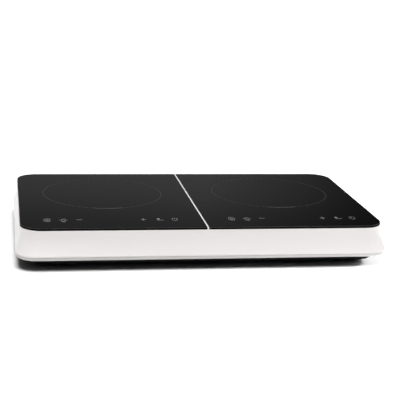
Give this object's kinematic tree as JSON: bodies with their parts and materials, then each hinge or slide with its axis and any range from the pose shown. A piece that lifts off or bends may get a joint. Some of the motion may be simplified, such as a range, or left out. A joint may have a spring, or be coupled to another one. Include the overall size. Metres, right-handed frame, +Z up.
{
  "type": "electric induction cooktop",
  "caption": "Portable induction cooktop with side-by-side cooking zones under black glass panes on a flared white housing, with touch controls in front.",
  "frame": {"origin": "on the table plane under the centre of the footprint", "axes": "+X to the user's right, +Y to the rear, +Z up; the user stands on the -Y side"},
  "size_m": [0.6, 0.376, 0.065],
  "materials": {
    "aluminium": "extruded",
    "black_glass": "polished",
    "black_plastic": "matte",
    "brass": "turned",
    "capacitor": "moulded box",
    "circuit_board": "solder mask",
    "coil_plastic": "heat-resistant moulding",
    "copper": "enamelled stranded wire",
    "display": "smoked window",
    "epoxy": "moulded package",
    "ferrite": "sintered",
    "mica": "matte sheet",
    "rubber": "matte",
    "silicone": "matte",
    "steel": "zinc plated",
    "white_plastic": "satin gloss",
    "wire": "insulated"
  },
  "bodies": {
    "body": {"upper_cover": "white_plastic", "lower_bezel": "white_plastic", "base_pan": "black_plastic", "cable_gland": "black_plastic", "mains_terminal_block": "coil_plastic", "foot_front_left": "rubber", "foot_front_right": "rubber", "foot_rear_left": "rubber", "foot_rear_right": "rubber", "housing_screw_side_left_front": "steel", "housing_screw_side_right_front": "steel", "housing_screw_side_left_rear": "steel", "housing_screw_side_right_rear": "steel", "housing_screw_front": "steel", "housing_screw_rear": "steel", "left_glass": "black_glass", "left_glass_seal": "silicone", "left_coil_former": "coil_plastic", "left_coil_winding": "copper", "left_mica_sheet": "mica", "left_ferrite_bars": "ferrite", "left_temperature_sensor": "silicone", "left_power_board": "circuit_board", "left_heat_sink": "aluminium", "left_power_transistor": "epoxy", "left_bridge_rectifier": "epoxy", "left_resonant_capacitor": "capacitor", "left_smoothing_capacitor": "capacitor", "left_filter_choke": "copper", "left_fan_frame": "black_plastic", "left_fan_bearing": "brass", "left_touch_board": "circuit_board", "left_digit_display": "display", "left_touch_board_carrier": "black_plastic", "left_mains_lead": "wire", "left_control_lead": "wire", "right_glass": "black_glass", "right_glass_seal": "silicone", "right_coil_former": "coil_plastic", "right_coil_winding": "copper", "right_mica_sheet": "mica", "right_ferrite_bars": "ferrite", "right_temperature_sensor": "silicone", "right_power_board": "circuit_board", "right_heat_sink": "aluminium", "right_power_transistor": "epoxy", "right_bridge_rectifier": "epoxy", "right_resonant_capacitor": "capacitor", "right_smoothing_capacitor": "capacitor", "right_filter_choke": "copper", "right_fan_frame": "black_plastic", "right_fan_bearing": "brass", "right_touch_board": "circuit_board", "right_digit_display": "display", "right_touch_board_carrier": "black_plastic", "right_mains_lead": "wire", "right_control_lead": "wire"},
    "left_fan": {"left_fan_rotor": "black_plastic"},
    "right_fan": {"right_fan_rotor": "black_plastic"}
  },
  "joints": [
    {"name": "left_fan_spin", "type": "hinge", "parent": "body", "child": "left_fan", "pos_m": [-0.193, 0.092, 0.018], "axis": [0, 0, 1], "continuous": true},
    {"name": "right_fan_spin", "type": "hinge", "parent": "body", "child": "right_fan", "pos_m": [0.193, 0.092, 0.018], "axis": [0, 0, 1], "continuous": true}
  ]
}
